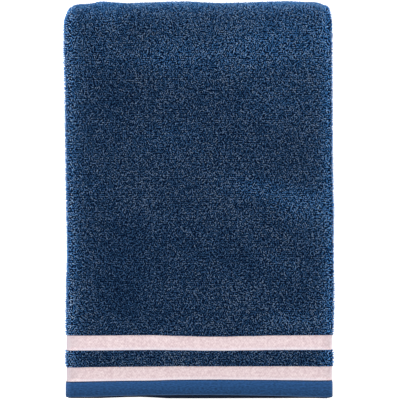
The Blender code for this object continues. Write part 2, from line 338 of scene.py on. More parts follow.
# How much painted rim highlight the pile's colour takes near a rim: distance from it in mm, share at a
# side, at the back
RIM_HIGHLIGHT = np.array(
    [
        (0, 1, 1), (2, 1, 1), (4.5, 1, 0.66), (6.5, 0.76, 0.5), (8.5, 0.47, 0.4),
        (13, 0.2, 0.25), (20, 0.05, 0.12), (35, 0, 0.04), (60, 0, 0),
    ]
)
# How shaded the woven stripes are where they turn down at a side: distance from it
# in mm, share at the wrapped side, at the tight side
SIDE_SHADE = np.array(
    [(0, 1, 0.8), (3, 0.9, 0.5), (5, 0.5, 0.22), (8, 0.25, 0.08), (14, 0.08, 0), (22, 0, 0)]
)
# How far the lower hem stands out before its straight line, in mm: place across, reach
UNDER_HEM = MM * np.array(
    [
        (-121, 0.6), (-85, 0.5), (-70, -0.4), (-50, -0.6), (-42, -0.1), (-34, 0.7), (0, 0.7),
        (60, 0.5), (100, 0.4), (121, 0.9),
    ]
)
# Slow waves of the height: height, length across, length along, phase
SWELLS = ((0.35 * MM, 310 * MM, 420 * MM, 0.6), (0.30 * MM, 260 * MM, 240 * MM, 2.1))


@dataclass(frozen=True)
class FoldedCloth:
    """The folds: from a place on the flat cloth to a place in the stack.

    A place on the cloth is (across, along), in metres from one corner. The cloth
    is folded in three across, which makes a slab, and in four along.
    """

    width: float = 700 * MM
    length: float = 1400 * MM
    pile: float = 4.2 * MM
    layer_gap: float = 0.4 * MM
    slab_gap: float = 0.5 * MM
    folded_width: float = 241.8 * MM
    inner_inset: float = 21 * MM
    front_inset: float = 3.8 * MM
    hem_retreat: float = 0.9 * MM
    hem_bow: float = 2.6 * MM
    hem_corner: tuple[float, float] = (2.4 * MM, 5.0 * MM)
    corner_squeeze: float = 0.6
    bow_fade: float = 90 * MM
    squareness: float = 2.3
    fold_depth: float = 0.96
    droop: float = 6.5 * MM
    droop_length: float = 50 * MM
    big_fold_fade: float = 60 * MM
    corner_draw: tuple[float, float] = (2.8 * MM, 1.6 * MM)
    corner_reach: tuple[float, float] = (26 * MM, 16 * MM)
    side_crown: tuple[float, float] = (2.2 * MM, 26 * MM)
    back_crown: tuple[float, float] = (2.4 * MM, 55 * MM)
    side_hem: float = 9 * MM
    hem_half: float = 1.3 * MM
    stripes_fade: float = 34 * MM
    bare_share: float = 0.14
    planting_fade: float = 4 * MM
    stripes: tuple[Stripe, ...] = (
        Stripe(Weave.HEM, 15.0 * MM, 1.3 * MM),
        Stripe(Weave.BAND, 12.8 * MM, 0.75 * MM),
        Stripe(Weave.PILE, 15.1 * MM, 2.1 * MM),
        Stripe(Weave.BAND, 13.2 * MM, 0.75 * MM),
    )

    @property
    def pitch(self) -> float:
        """From one layer of a slab to the next."""
        return self.pile + self.layer_gap

    @property
    def slab(self) -> float:
        """The thickness of three layers."""
        return 3 * self.pile + 2 * self.layer_gap

    @property
    def slab_pitch(self) -> float:
        """From one slab to the next."""
        return self.slab + self.slab_gap

    @property
    def height(self) -> float:
        """The height of the whole stack."""
        return 4 * self.slab + 3 * self.slab_gap

    @property
    def middle(self) -> float:
        """The flat width of the middle third."""
        return self.folded_width - 1.5 * self.pitch - self.pile

    @property
    def stripe_borders(self) -> np.ndarray:
        """Where each stripe begins, from the hem's edge, and where the last ends."""
        return np.cumsum([0.0] + [stripe.width for stripe in self.stripes])

    @property
    def across_breaks(self) -> np.ndarray:
        """Where the inner third, the tight fold, the middle third, the wrapping
        fold and the outer third begin."""
        inner = self.middle + self.pitch + self.pile / 2 - self.inner_inset
        tight, wrap = np.pi * self.pitch / 2, np.pi * self.pitch
        return np.cumsum([0, inner, tight, self.middle, wrap])

    @property
    def sections(self) -> list[Section]:
        """The slabs and folds in order along the towel, from the upper hem."""
        outer, inner, front = 1.5 * self.slab_pitch, 0.5 * self.slab_pitch, 0.5 * self.slab_pitch
        lengths = self.big_fold_length(outer), self.big_fold_length(inner), np.pi * front
        front_y = self.front_inset + front + self.slab / 2
        back_y = ((self.length + self.hem_retreat - sum(lengths)) / 2 + front_y) / 2
        front_z = (self.slab + self.slab_pitch) / 2
        short, mid, half = back_y - front_y, self.height / 2, np.pi / 2
        return [
            Section("upper end", back_y, 3, 1, y_from=0, y_to=back_y),
            Section("big fold, outside", lengths[0], 0, 1, outer, back_y, mid, half, -half),
            Section("bottom", short, 0, -1, y_from=back_y, y_to=front_y),
            Section("front fold", lengths[2], 0, 1, front, front_y, front_z, -half, -3 * half),
            Section("second", short, 1, 1, y_from=front_y, y_to=back_y),
            Section("big fold, inside", lengths[1], 0, -1, inner, back_y, mid, -half, half),
            Section("lower end", back_y, 2, -1, y_from=back_y, y_to=0),
        ]

    @property
    def along_breaks(self) -> np.ndarray:
        """Where each section begins, along the towel, and where the last ends."""
        return np.cumsum([0.0] + [section.length for section in self.sections])

    @property
    def loops_end(self) -> float:
        """Where the modelled loops end, low on the outside of the big fold."""
        start, end = self.along_breaks[1:3]
        return end - self.bare_share * (end - start)

    def big_fold_point(self, radius: np.ndarray, angle: np.ndarray) -> tuple[np.ndarray, np.ndarray]:
        """A point of the big fold, whose profile is a superellipse.

        Args:
            radius: distance from the fold's axis at its top and bottom.
            angle: 0 towards +Y.

        Returns:
            y and z from the axis.
        """
        n = self.squareness
        reach = radius * (np.abs(np.cos(angle)) ** n + np.abs(np.sin(angle)) ** n) ** (-1 / n)
        return self.fold_depth * reach * np.cos(angle), reach * np.sin(angle)

    def big_fold_length(self, radius: float) -> float:
        """The length of half a turn of the big fold, summed over short steps."""
        y, z = self.big_fold_point(radius, np.linspace(-np.pi / 2, np.pi / 2, 361))
        return float(np.hypot(np.diff(y), np.diff(z)).sum())

    def from_end(self, along: np.ndarray) -> np.ndarray:
        """Distance from the nearer hem's edge."""
        return np.minimum(along, self.along_breaks[-1] - along)

    def from_side(self, across: np.ndarray) -> np.ndarray:
        """Distance inwards, seen from above, from the nearer side of the slab: on a
        side fold, its radius less its sine."""
        flat, wrap = self.across_breaks[2:4]
        distances = []
        for radius, past in ((self.pitch / 2, flat - across), (self.pitch, across - wrap)):
            turned = np.sin(np.clip(past / radius, 0, np.pi / 2))
            distances.append((radius + self.pile / 2) * (1 - turned) + np.maximum(-past, 0))
        return np.minimum(*distances)

    def fold_across(self, across: np.ndarray) -> tuple[np.ndarray, np.ndarray, np.ndarray, np.ndarray]:
        """The fold in three: straight runs joined by two half turns.

        Args:
            across: place across the cloth.

        Returns:
            x, depth in the slab, and the cloth's normal as its x and its depth.
        """
        inner, tight, middle, wrap = self.across_breaks[1:]
        tight_radius, wrap_radius = self.pitch / 2, self.pitch
        first = np.clip((across - inner) / tight_radius, 0, np.pi)
        second = np.clip((across - middle) / wrap_radius, 0, np.pi)
        tight_x = self.middle / 2 + (wrap_radius - tight_radius) / 2
        x = (
            tight_x - inner + np.minimum(across, inner) + tight_radius * np.sin(first)
            - np.clip(across - tight, 0, self.middle) - wrap_radius * np.sin(second)
            + np.maximum(across - wrap, 0)
        )
        depth = (
            self.pile + self.layer_gap / 2 + tight_radius * np.cos(first)
            + wrap_radius * (1 - np.cos(second))
        )
        return x, depth, np.sin(first) - np.sin(second), np.cos(first) * np.cos(second)

    def fold_along(self, x: np.ndarray, depth: np.ndarray, along: np.ndarray) -> np.ndarray:
        """The fold in four: the slab's middle runs flat or round an axis, and a
        depth in the slab is taken off its height or its radius.

        Args:
            x: place across the stack.
            depth: depth in the slab.
            along: place along the towel.

        Returns:
            Points, with x, y and z on the last axis.
        """
        x, depth, along = np.broadcast_arrays(x, depth, along)
        y, z = np.zeros(x.shape), np.zeros(x.shape)
        which = np.searchsorted(self.along_breaks, along, side="right") - 1
        which = np.clip(which, 0, len(self.sections) - 1)
        for number, section in enumerate(self.sections):
            here = which == number
            share = (along[here] - self.along_breaks[number]) / section.length
            lift = (self.slab / 2 - depth[here]) * section.outward
            angle = section.turn_from + (section.turn_to - section.turn_from) * share
            if not section.radius:
                y[here] = section.y_from + (section.y_to - section.y_from) * share
                z[here] = self.slab / 2 + section.level * self.slab_pitch + lift
            elif "big" in section.name:
                out, up = self.big_fold_point(section.radius + lift, angle)
                y[here], z[here] = section.axis_y + out, section.axis_z + up
            else:
                y[here] = section.axis_y + (section.radius + lift) * np.cos(angle)
                z[here] = section.axis_z + (section.radius + lift) * np.sin(angle)
        return np.stack([x, y, z], -1)

    def settle_ends(self, points: np.ndarray, along: np.ndarray) -> np.ndarray:
        """Presses the two hemmed ends together towards their edge, bows the upper
        one's edge back at its middle, lets the lower one's show there, and rounds
        their corners.

        Args:
            points: places in the stack.
            along: their places along the towel.

        Returns:
            The moved points.
        """
        end = self.from_end(along)
        near = np.clip(1 - end / self.droop_length, 0, 1) ** 2
        lower_top = 2 * self.slab_pitch - self.slab_gap / 2
        above = np.maximum(points[..., 2] - lower_top, 0)
        drop = above * near * self.droop / (self.height - lower_top)
        side = points[..., 0] / (self.folded_width / 2)
        bow = self.hem_retreat + self.hem_bow * np.clip(1 - side**2, 0, 1)
        fade = np.clip(1 - end / self.bow_fade, 0, 1) ** 2
        under = eased(points[..., 0], UNDER_HEM[:, 0], UNDER_HEM[:, 1])
        back = np.where(along < self.length / 4, bow, -under) * fade
        wide, long = self.hem_corner
        past = np.clip((np.abs(side) - 1) * self.folded_width / 2 / wide + 1, 0, 1)
        near_edge = np.clip(1 - end / long, 0, 1)
        back = back + wide * (1 - np.sqrt(1 - past**2)) * near_edge
        narrow = -np.sign(side) * self.corner_squeeze * wide * past**2 * near_edge**2
        return points + np.stack([narrow, back, -drop], -1)

    def loosen(self, points: np.ndarray, along: np.ndarray) -> np.ndarray:
        """Moves the folded cloth as a real one lies: sides that stand out or in,
        rounded back corners, a big fold that isn't straight, and slow swells.

        Args:
            points: places in the stack.
            along: their places along the towel.

        Returns:
            The moved points. The underside stays flat.
        """
        x, y, z = points[..., 0], points[..., 1], points[..., 2]
        big_axis = self.sections[0].y_to
        wrapped, tight = (eased(along, EDGES[:, 0], EDGES[:, i]) for i in (1, 2))
        share = x / self.folded_width + 0.5
        x_shift = tight * share - wrapped * (1 - share)
        turned = smooth((y - big_axis) / (self.fold_depth * self.height / 2)) ** 2
        for draw, reach, sign in zip(self.corner_draw, self.corner_reach, (-1, 1)):
            at_corner = smooth((sign * x - self.folded_width / 2) / reach + 1)
            x_shift = x_shift - sign * draw * turned * at_corner
        line = eased(x, BIG_FOLD_LINE[:, 0], BIG_FOLD_LINE[:, 1])
        y_shift = -line * smooth((y - big_axis) / self.big_fold_fade + 0.5)
        swell = sum(
            high * np.sin(2 * np.pi * x / wide + phase) * np.cos(2 * np.pi * y / long + phase)
            for high, wide, long, phase in SWELLS
        )
        drop, reach = self.side_crown
        crown = drop * np.clip(1 - (self.folded_width / 2 - np.abs(x)) / reach, 0, 1) ** 2
        drop, reach = self.back_crown
        back = big_axis + self.fold_depth * self.height / 2
        crown = crown + drop * np.clip(1 - (back - y) / reach, 0, 1) ** 2
        share = z / self.height
        rise = share * (swell - crown) + share**3 * self.dent(x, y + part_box(NODE)[0].y)
        return points + np.stack([x_shift, y_shift, rise], -1)

    def dent(self, x: np.ndarray, y: np.ndarray) -> np.ndarray:
        """The soft dents and ridges of the top, each a bell-shaped oval.

        Args:
            x: place across the stack.
            y: place along it, from the solid's origin.

        Returns:
            The rise, in metres.
        """
        rise = np.zeros(np.shape(x))
        for middle_x, middle_y, long, wide, turn, high in DENTS:
            cos, sin = np.cos(np.radians(turn)), np.sin(np.radians(turn))
            off_x, off_y = x / MM - middle_x, y / MM - middle_y
            first, second = (off_x * cos + off_y * sin) / long, (off_y * cos - off_x * sin) / wide
            rise = rise + high * MM * np.exp(-(first**2) - second**2)
        return rise

    def stripe_shift(self, x: np.ndarray, end: np.ndarray) -> np.ndarray:
        """How far the woven stripes wander from the hem: nothing at the hem's
        edge, the tables' lines at its stitches and at the last band.

        Args:
            x: place across the stack.
            end: distance from the hem's edge.

        Returns:
            The shift, away from the hem.
        """
        lines = [eased(x, STRIPE_LINES[:, 0], STRIPE_LINES[:, i]) for i in (1, 2)]
        borders = self.stripe_borders
        low = np.clip(end / borders[1], 0, 1)
        high = np.clip((end - borders[1]) / (borders[-1] - borders[1]), 0, 1)
        fade = smooth(1 - (end - borders[-1]) / self.stripes_fade)
        return fade * (lines[0] * low * (1 - high) + lines[1] * high)

    def place(self, across: np.ndarray, along: np.ndarray, lift: np.ndarray | float) -> np.ndarray:
        """A point of the cloth, in the solid's frame.

        Args:
            across: place across the flat cloth.
            along: place along it.
            lift: distance from the cloth's middle, towards its outer face.

        Returns:
            Points, with x, y and z on the last axis.
        """
        across, along, lift = np.broadcast_arrays(across, along, lift)
        x, depth, normal_x, normal_depth = self.fold_across(across)
        shift = self.stripe_shift(x, self.from_end(along))
        along = along + np.where(along < self.length / 2, shift, -shift)
        centre = self.fold_along(x, depth, along)
        normal = unit(self.fold_along(x + normal_x * MM, depth + normal_depth * MM, along) - centre)
        points = self.settle_ends(centre, along) + lift[..., None] * normal
        front = np.array([0.0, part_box(NODE)[0].y, 0.0])
        return self.loosen(points, along) + front

    def planted(self, across: np.ndarray, along: np.ndarray) -> np.ndarray:
        """Where the outer face carries modelled loops: its side folds all along,
        and its flat part on top, round the big fold and at the front fold.

        Args:
            across: place across the cloth.
            along: place along it.

        Returns:
            1 where loops stand, 0 where they don't, eased between.
        """
        fade = self.planting_fade
        _, tight, flat, wrap, outer = self.across_breaks
        front, second = self.along_breaks[3:5]
        on_sides = smooth((across - tight) / fade) * smooth((outer - across) / fade)
        on_flat = smooth((across - flat) / fade + 1) * smooth((wrap - across) / fade + 1)
        shows = np.maximum(
            smooth((self.loops_end - along) / fade),
            smooth((along - front) / fade) * smooth((second - along) / fade),
        )
        return on_sides * (1 - on_flat * (1 - shows))


# The finishes


def new_material(
    name: str,
) -> tuple[bpy.types.Material, bpy.types.Node, Callable[..., bpy.types.Node]]:
    """A new material with its default nodes.

    Args:
        name: what the real material is.

    Returns:
        The material, its Principled shader, and add_node for its tree.
    """
    material = bpy.data.materials.new(name)
    material.use_nodes = True
    tree = material.node_tree
    return material, tree.nodes["Principled BSDF"], partial(add_node, tree)


def edged(
    add: Callable[..., bpy.types.Node], colour: bpy.types.Node, edge: str, shade: str
) -> bpy.types.NodeSocket:
    """Adds a painted highlight to a colour where the sheet's painted edge light is
    above 0, and painted shade where that is below 0.

    Args:
        add: add_node for the material's tree.
        colour: the finish's own colour.
        edge: the colour of the painted highlight.
        shade: the colour of the painted shade.

    Returns:
        The changed colour.
    """
    tone = add("Attribute", attribute_name="painted_edge_light").outputs["Fac"]
    under = add("Math", {0: tone, 1: -1.0}, operation="MULTIPLY")
    lighter = add("Mix", {0: tone, 6: colour, 7: linear(edge)}, data_type="RGBA").outputs[2]
    return add("Mix", {0: under, 6: lighter, 7: linear(shade)}, data_type="RGBA").outputs[2]


@dataclass(frozen=True)
class Finish:
    """What the finishes share: how matt they are, from typical values for their
    fibres."""

    roughness: float = 0.95
    specular: float = 0.1

    def dress(self, shader: bpy.types.Node, inputs: dict) -> None:
        """Sets a shader's gloss and its other inputs."""
        set_inputs(shader, {"Roughness": self.roughness, "Specular IOR Level": self.specular, **inputs})


@dataclass(frozen=True)
class YarnFinish(Finish):
    """Ring-spun cotton yarn, two plies, dyed navy: matt, with a soft sheen of
    loose fibre at its edges, and painted shade towards its roots. Round the
    folds and on ridges its colour takes a painted highlight, lighter and bluer."""

    # field: the yarn's own colours, dark to light; rim: lighter, bluer colours that paint a highlight on
    # the pile round the rims and on ridges
    field: tuple[str, str, str] = ("#02142F", "#315A85", "#96A8BC")
    rim: tuple[str, str, str] = ("#0C427E", "#4C94D6", "#B6CEE6")
    specular: float = 0.12
    sheen: float = 0.25
    sheen_roughness: float = 0.5
    sheen_tint: str = "#4F86DC"
    tones: int = 8
    # the number of levels of painted rim highlight
    painted_rim_light: int = 8
    ply_turns: float = 3.3
    ply_contrast: float = 0.5
    # painted shade towards the loops' roots, down between them
    root_shade: float = 0.75
    root_fade: tuple[float, float] = (0.12, 0.5)

    def build(self) -> bpy.types.Material:
        """The yarn's colour follows its own map: along the loop one way. The
        other way are bands, one for each level of painted rim highlight and
        each tone, with the turn round the yarn inside a band.

        Returns:
            The material.
        """
        material, shader, add = new_material("cotton terry yarn")
        parts = add("SeparateXYZ", {0: add("UVMap", uv_map=BAKE_MAP)})
        along, bands = parts.outputs[0], parts.outputs[1]
        in_bands = add("Math", {0: bands, 1: self.tones * self.painted_rim_light}, operation="MULTIPLY")
        turn = add("Math", {0: in_bands}, operation="FRACT")
        in_levels = add("Math", {0: bands, 1: self.painted_rim_light}, operation="MULTIPLY")
        level = add("Math", {0: in_levels}, operation="FLOOR")
        painted_rim_light = add("Math", {0: level, 1: self.painted_rim_light - 1}, operation="DIVIDE")
        rest = add("Math", {0: in_levels}, operation="FRACT")
        in_tones = add("Math", {0: rest, 1: self.tones}, operation="MULTIPLY")
        step = add("Math", {0: in_tones}, operation="FLOOR")
        tone = add("Math", {0: step, 1: self.tones}, operation="DIVIDE")
        twist = add("Math", {0: along, 1: self.ply_turns, 2: turn}, operation="MULTIPLY_ADD")
        ply = add("Math", {0: twist, 1: 0.5}, operation="PINGPONG")
        lit = add("Math", {0: ply, 1: self.ply_contrast, 2: tone}, operation="MULTIPLY_ADD")
        # painted shade towards the roots
        from_top = add("Math", {0: along, 1: 0.5}, operation="SUBTRACT")
        away = add("Math", {0: from_top}, operation="ABSOLUTE")
        high, low = self.root_fade
        fade = {0: away, 1: high, 2: low, 3: 0.0, 4: self.root_shade}
        root = add("MapRange", fade, interpolation_type="SMOOTHSTEP")
        value = add("Math", {0: lit, 1: root}, operation="SUBTRACT")
        field, rim = (
            fill_ramp(add("ValToRGB", {0: value}), zip((0.0, 0.5, 1.0), colours))
            for colours in (self.field, self.rim)
        )
        # each loop's colour goes towards the painted rim highlight by its share of it
        colour = add("Mix", {0: painted_rim_light, 6: field, 7: rim}, data_type="RGBA")
        self.dress(shader, {
            "Base Color": colour.outputs[2],
            "Sheen Weight": self.sheen,
            "Sheen Roughness": self.sheen_roughness,
            "Sheen Tint": linear(self.sheen_tint),
        })
        return material


@dataclass(frozen=True)
class GroundFinish(Finish):
    """The terry cloth between and without the modelled loops: near-black painted
    shade where they stand, and a crowd of low loops where they don't, with
    painted shade in their pits and painted light on their tops."""

    # near-black painted shade between the modelled loops
    shade: str = "#02142E"
    # pit to bright: painted shade in the pits between the low loops, painted light on their tops
    pit: str = "#14233C"
    body: str = "#2A456C"
    bright: str = "#486A9C"
    loop_pitch: float = 2.1 * MM
    bend: tuple[float, float, float] = (1.1 * MM, 1.1 * MM, 0)
    bend_size: float = 3.5 * MM
    patch_size: float = 14 * MM
    patch_share: float = 0.5
    cell: tuple[float, float] = (0.1, 0.65)
    bump: tuple[float, float] = (0.8, 0.8 * MM)

    def build(self) -> bpy.types.Material:
        """Rounded cells a loop's pitch wide: painted light at their middle, painted
        shade towards their edges.

        Returns:
            The material.
        """
        material, shader, add = new_material("terry ground")
        parts = add("SeparateXYZ", {0: add("Attribute", attribute_name="cloth_place").outputs["Vector"]})
        spot = add("CombineXYZ", {0: parts.outputs[0], 1: parts.outputs[1]})
        bend = add("TexNoise", {"Vector": spot, "Scale": 1 / self.bend_size})
        offset = add("VectorMath", {0: bend.outputs["Color"], 1: self.bend}, operation="MULTIPLY")
        bent = add("VectorMath", {0: spot, 1: offset}, operation="ADD")
        cells = add("TexVoronoi", {"Vector": bent, "Scale": 1 / self.loop_pitch}, voronoi_dimensions="2D")
        patch = add("TexNoise", {"Vector": spot, "Scale": 1 / self.patch_size})
        # loop tops painted light, pits painted shade
        loop_top = add("MapRange", {0: cells, 1: self.cell[0], 2: self.cell[1], 3: 1, 4: 0})
        value = add("Math", {0: patch, 1: self.patch_share, 2: loop_top}, operation="MULTIPLY_ADD")
        ramp = fill_ramp(
            add("ValToRGB", {0: value}), ((0.2, self.pit), (0.75, self.body), (1.0, self.bright))
        )
        # where the modelled loops stand, their ground is painted shade
        mix = add("Mix", {0: parts.outputs[2], 6: ramp, 7: linear(self.shade)}, data_type="RGBA")
        bump = add("Bump", {"Height": loop_top, "Strength": self.bump[0], "Distance": self.bump[1]})
        self.dress(shader, {"Base Color": mix.outputs[2], "Normal": bump})
        return material


@dataclass(frozen=True)
class BandFinish(Finish):
    """Flat woven cotton band in pale pink: a fine even grain of weft ribs, with
    a painted highlight along its lower border and painted shade at its ends,
    where it turns down at the sides."""

    thread: str = "#CFB2B8"
    face: str = "#F4E4E5"
    # edge: painted highlight along the band's lower border; shade: painted shade at its ends
    edge: str = "#F3EAF2"
    shade: str = "#A99EA4"
    warp_pitch: float = 2.2 * MM
    weft_pitch: float = 1.3 * MM
    fleck: float = 1.8 * MM
    relief_share: float = 0.3
    bump: tuple[float, float] = (0.45, 0.25 * MM)
    roughness: float = 0.85
    specular: float = 0.2

    def build(self) -> bpy.types.Material:
        """Two crossing rows of rounded threads, over and under each other in
        turn, drawn three to four times as coarse as the real half-millimetre
        threads so that they show.

        Returns:
            The material.
        """
        material, shader, add = new_material("flat woven cotton band")
        place = add("Attribute", attribute_name="cloth_place").outputs["Vector"]
        parts = add("SeparateXYZ", {0: place})
        waves = {}
        for way, pitch in enumerate((self.warp_pitch, self.weft_pitch)):
            phase = add("Math", {0: parts.outputs[way], 1: 2 * np.pi / pitch}, operation="MULTIPLY")
            waves[way] = add("Math", {0: phase}, operation="SINE")
        relief = add("Math", waves, operation="MULTIPLY")
        uneven = add("TexNoise", {"Vector": place, "Scale": 1 / self.fleck})
        grain = add("Math", {0: relief, 1: self.relief_share, 2: uneven}, operation="MULTIPLY_ADD")
        ramp = fill_ramp(add("ValToRGB", {0: grain}), ((0.2, self.thread), (0.8, self.face)))
        bump = add("Bump", {"Height": relief, "Strength": self.bump[0], "Distance": self.bump[1]})
        self.dress(shader, {"Base Color": edged(add, ramp, self.edge, self.shade), "Normal": bump})
        return material


@dataclass(frozen=True)
class HemFinish(Finish):
    """Ribbed cotton hem in navy: fine ribs across the towel, more saturated than
    the pile, with painted shade towards its drooping edge, along its border with
    the band and over the lower hem, and a painted highlight along its turned edge."""

    groove: str = "#0B2342"
    body: str = "#18426E"
    rib_top: str = "#2D5A93"
    # edge: painted highlight along the turned edge; shade: painted shade at the ends and on the lower hem
    edge: str = "#5B7CA4"
    shade: str = "#040A18"
    rib_pitch: float = 1.25 * MM
    width: float = 15 * MM
    streaks: tuple[float, float, float] = (420, 900, 0)
    streak_share: float = 1.2
    # painted shade, darker towards the hem's drooping edge
    painted_droop_shade: float = -0.42
    # painted shade along the hem's border with the band and over the lower hem
    crease: tuple[float, float] = (1.1 * MM, 0.3 * MM)
    crease_shade: float = -0.7
    bump: tuple[float, float] = (0.5, 0.3 * MM)
    roughness: float = 0.8
    specular: float = 0.2

    def build(self) -> bpy.types.Material:
        """Rounded ribs along the hem, streaked by uneven yarn.

        Returns:
            The material.
        """
        material, shader, add = new_material("ribbed cotton hem")
        place = add("Attribute", attribute_name="cloth_place").outputs["Vector"]
        along = add("SeparateXYZ", {0: place}).outputs[1]
        phase = add("Math", {0: along, 1: 1 / self.rib_pitch}, operation="MULTIPLY")
        rib = add("Math", {0: phase, 1: 0.5}, operation="PINGPONG")
        scaled = add("VectorMath", {0: place, 1: self.streaks}, operation="MULTIPLY")
        streak = add("TexNoise", {"Vector": scaled, "Scale": 1.0})
        ribbed = add("Math", {0: streak, 1: self.streak_share, 2: rib}, operation="MULTIPLY_ADD")
        # painted shade towards the hem's drooping edge
        painted_droop_shade = add("MapRange", {0: along, 1: 0.0, 2: self.width, 3: self.painted_droop_shade, 4: 0.0})
        low, high = (self.width - inset for inset in self.crease)
        # painted shade along the hem's border with the band and over the lower hem
        creased = add("MapRange", {0: along, 1: low, 2: high, 3: 0.0, 4: self.crease_shade})
        shade = add("Math", {0: painted_droop_shade, 1: creased}, operation="ADD")
        value = add("Math", {0: ribbed, 1: shade}, operation="ADD")
        ramp = fill_ramp(
            add("ValToRGB", {0: value}), ((0.1, self.groove), (0.6, self.body), (1.0, self.rib_top))
        )
        bump = add("Bump", {"Height": rib, "Strength": self.bump[0], "Distance": self.bump[1]})
        self.dress(shader, {"Base Color": edged(add, ramp, self.edge, self.shade), "Normal": bump})
        return material


@dataclass(frozen=True)
class ThreadFinish(Finish):
    """Polyester sewing thread in dark navy, a little shiny."""

    groove: str = "#16263F"
    body: str = "#2C456B"
    twist: float = 4.0
    roughness: float = 0.5
    specular: float = 0.5

    def build(self) -> bpy.types.Material:
        """A fine twist along the thread, from its own map.

        Returns:
            The material.
        """
        material, shader, add = new_material("sewing thread")
        spot = add("UVMap", uv_map=BAKE_MAP)
        wave = add("TexWave", {"Vector": spot, "Scale": self.twist}, bands_direction="DIAGONAL")
        ramp = fill_ramp(add("ValToRGB", {0: wave}), ((0.0, self.groove), (1.0, self.body)))
        self.dress(shader, {"Base Color": ramp})
        return material


# The sub-assemblies


